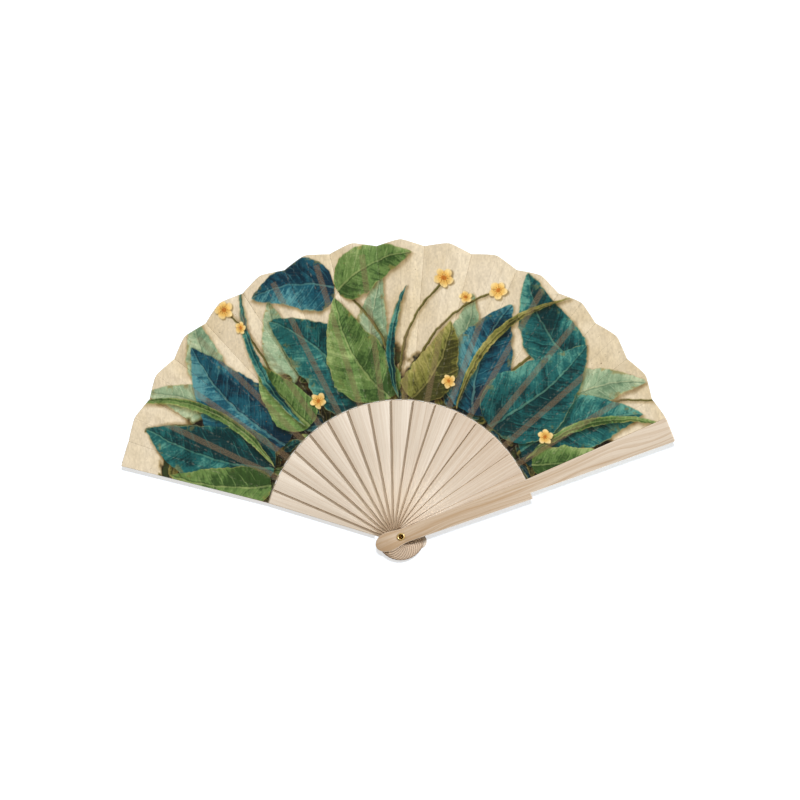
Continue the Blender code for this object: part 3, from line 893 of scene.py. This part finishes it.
def cloth_panel(number, place):
    """A finely divided panel, laid on the front of the leaf, and what the print needs to know of it."""
    shape = bmesh.new()
    bmesh.ops.create_grid(shape, x_segments=PANEL_COLUMNS, y_segments=PANEL_ROWS, size=0.5)
    grid = np.array([corner.co[:2] for corner in shape.verts]) + 0.5
    across, out = grid[:, 0], grid[:, 1]
    radius, angle, height, loose = place(number, across, out)
    turn = np.radians(slat_angle(number) + angle)
    x, y = radius * np.cos(turn), radius * np.sin(turn)
    ripple = mottle(1000 * x, 1000 * y, 9, PRINT_SEED + 90) - 0.5
    height = height + PUCKER * ripple * np.sin(math.pi * loose)
    height = height + GUARD_THICKNESS + number * SLAT_PITCH
    for corner, spot in zip(shape.verts, np.column_stack((x, y, height))):
        corner.co = spot
    to_fold = np.minimum(across, 1 - across) * np.radians(HALF_FOLD) * radius
    crease = soft_step(CREASE_WIDTH, SHARP_SIDE, to_fold)
    off_slat = np.abs(radius * np.sin(np.radians(angle)))
    rib = soft_step(RIB_WIDTH / 2 + 0.0003, RIB_WIDTH / 2 - 0.0004, off_slat)
    rib = rib * soft_step(RIB_TIP_RADIUS, RIB_TIP_RADIUS - 0.0008, radius)
    rib = rib * (place is glued_panel) * (0 < number < SLAT_COUNT - 1)
    to_rim = np.minimum(out, 1 - out) * (LEAF_OUTER_RADIUS - LEAF_INNER_RADIUS)
    hem = soft_step(HEM_WIDTH, SHARP_SIDE, to_rim)
    return shape, np.column_stack((x, y)), np.column_stack((rib, crease, hem, np.ones(len(x))))


def add_values(mesh, name, values):
    """Colours kept on a mesh's points under a name that its material reads."""
    kept = mesh.color_attributes.new(name, "FLOAT_COLOR", "POINT")
    kept.data.foreach_set("color", values.astype(np.float32).ravel())


weave, weave_in, weave_out = new_group(
    "plain_weave",
    [("Flat", "Vector", None)],
    [("Threads", "Float"), ("Slubs", "Float"), ("Specks", "Float")],
)
on_cloth = weave_in["Flat"]
warp = noise(weave, stretch(weave, on_cloth, (300, 3400, 1)), 2.0)
weft = noise(weave, stretch(weave, on_cloth, (3400, 300, 1)), 2.0)
weave.links.new(calc(weave, "MULTIPLY", calc(weave, "ADD", warp, weft), 0.5), weave_out["Threads"])
slub_warp = noise(weave, stretch(weave, on_cloth, (70, 2300, 1), (1, 2, 0)), 1.0)
slub_weft = noise(weave, stretch(weave, on_cloth, (2300, 70, 1), (4, 1, 0)), 1.0)
slub_warp, slub_weft = between(weave, slub_warp, 0.62, 0.78), between(weave, slub_weft, 0.62, 0.78)
weave.links.new(calc(weave, "MAXIMUM", slub_warp, slub_weft), weave_out["Slubs"])
speck_noise = noise(weave, stretch(weave, on_cloth, (620, 620, 1), (7, 3, 0)), 0.0)
speck_crowd = noise(weave, stretch(weave, on_cloth, (40, 40, 1)), 1.0)
speck_sum = calc(weave, "MULTIPLY_ADD", speck_crowd, 0.25, speck_noise)
weave.links.new(between(weave, speck_sum, 0.93, 1.0), weave_out["Specks"])


def cloth_material(name, print_share, plain):
    """Cotton with its weave, slubs and specks over the print, which hardly shows on the back."""
    made, tree, shader = new_material(name, 0.85)
    flat = put(tree, "UVMap", {}, uv_map="flat").outputs[0]
    cloth = use_group(tree, weave, {"Flat": flat})
    printed = put(tree, "Attribute", {}, attribute_name="print_colour").outputs["Color"]
    marks = put(tree, "Attribute", {}, attribute_name="marks").outputs["Color"]
    rib, crease, hem = put(tree, "SeparateColor", {0: marks}).outputs[:3]
    colour = mix(tree, "MIX", print_share, (*plain, 1), printed)
    thread_light = calc(tree, "MULTIPLY_ADD", cloth["Threads"], 0.36, 0.82)
    thread_grey = put(tree, "CombineColor", {0: thread_light, 1: thread_light, 2: thread_light}).outputs[0]
    colour = mix(tree, "MULTIPLY", 1.0, colour, thread_grey)
    colour = mix(tree, "MIX", calc(tree, "MULTIPLY", cloth["Slubs"], 0.06), colour, (0.80, 0.74, 0.58, 1))
    colour = mix(tree, "MIX", calc(tree, "MULTIPLY", cloth["Specks"], 0.6), colour, (0.16, 0.11, 0.06, 1))

    brightness = put(tree, "RGBToBW", {0: colour}).outputs[0]
    dark_share = between(tree, brightness, 0.62, 0.08)
    hatch = noise(tree, stretch(tree, flat, (1500, 1500, 1), (2, 9, 0)), 2.0)
    rib_share = calc(tree, "MULTIPLY", rib, calc(tree, "MULTIPLY_ADD", dark_share, 0.34, 0.06))
    scratches = calc(tree, "MULTIPLY_ADD", between(tree, hatch, 0.30, 0.70), 1.1, 0.40)
    rib_share = calc(tree, "MULTIPLY", rib_share, scratches)
    colour = mix(tree, "MIX", rib_share, colour, (0.215, 0.155, 0.092, 1))
    worn = noise(tree, stretch(tree, flat, (420, 420, 1)), 2.0)
    crease_share = calc(tree, "MULTIPLY", crease, between(tree, worn, 0.42, 0.8))
    colour = mix(tree, "MIX", calc(tree, "MULTIPLY", crease_share, 0.16), colour, (0.80, 0.74, 0.60, 1))
    colour = mix(tree, "MIX", calc(tree, "MULTIPLY", hem, 0.55), colour, (0.78, 0.72, 0.58, 1))
    tree.links.new(colour, shader.inputs["Base Color"])
    tree.links.new(calc(tree, "MULTIPLY_ADD", cloth["Threads"], 0.2, 0.72), shader.inputs["Roughness"])
    bump = put(tree, "Bump", {"Height": cloth["Threads"], "Strength": 0.4, "Distance": 0.00008})
    tree.links.new(bump.outputs[0], shader.inputs["Normal"])
    shader.inputs["Specular IOR Level"].default_value = 0.2
    return made


printed_face = cloth_material("printed_cotton", 1.0, (0.75, 0.67, 0.5))
bare_back = cloth_material("bare_cotton_back", 0.22, (0.76, 0.69, 0.54))
cut_edge = cloth_material("cut_cotton_edge", 0.0, (0.80, 0.74, 0.60))

panels = [(number, glued_panel) for number in range(SLAT_COUNT)]
panels += [(number, free_panel) for number in range(SLAT_COUNT - 1)]
laid_out = [cloth_panel(number, place) for number, place in panels]
counts = np.cumsum([len(flat) for _, flat, _ in laid_out])
all_flat = 1000 * np.concatenate([flat for _, flat, _ in laid_out])
all_colours = np.split(paint_picture(all_flat[:, 0], all_flat[:, 1]) ** DISPLAY_GAMMA, counts[:-1])
slat_bodies = ["rear"] + [f"slat_{number:02d}" for number in range(1, SLAT_COUNT - 1)] + ["front"]

for (number, place), (shape, flat, marks), colours in zip(panels, laid_out, all_colours):
    kind = "glued" if place is glued_panel else "free"
    flat_map = shape.loops.layers.uv.new("flat")
    shape.verts.index_update()
    for face in shape.faces:
        face.smooth = True
        for corner in face.loops:
            corner[flat_map].uv = flat[corner.vert.index]
    if shape.faces[:][0].normal.z < 0:
        bmesh.ops.reverse_faces(shape, faces=shape.faces)
    cloth = new_piece(f"cloth_{kind}_{number:02d}", shape, printed_face, bare_back, cut_edge)
    add_values(cloth.data, "print_colour", np.column_stack((colours, np.ones(len(colours)))))
    add_values(cloth.data, "marks", marks)
    cotton = cloth.modifiers.new("cloth", "SOLIDIFY")
    cotton.thickness = CLOTH_THICKNESS
    cotton.offset = -1
    cotton.material_offset = 1
    cotton.material_offset_rim = 2
    leaf_alone.objects.link(cloth)
    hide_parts(f"leaf_{kind}_{number:02d}")
    arc = math.radians(HALF_FOLD)
    if kind == "glued":
        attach(cloth, slat_bodies[number])
    else:
        valley_angle = math.radians(slat_angle(number) + FOLD_LEAD - HALF_FOLD)
        mountain_angle = valley_angle - arc
        slope = pleat_drop(number, 1.0)
        valley = Vector((math.cos(valley_angle), math.sin(valley_angle), -slope)).normalized()
        mountain = Vector((math.cos(mountain_angle), math.sin(mountain_angle), 0))
        normal = mountain.cross(valley).normalized()
        normal = normal if normal.z > 0 else -normal
        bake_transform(cloth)

# With the rear guard, the leaf's first panel is all that shades the low table lamp
rear_edge.objects.link(bpy.data.objects["cloth_glued_00"])
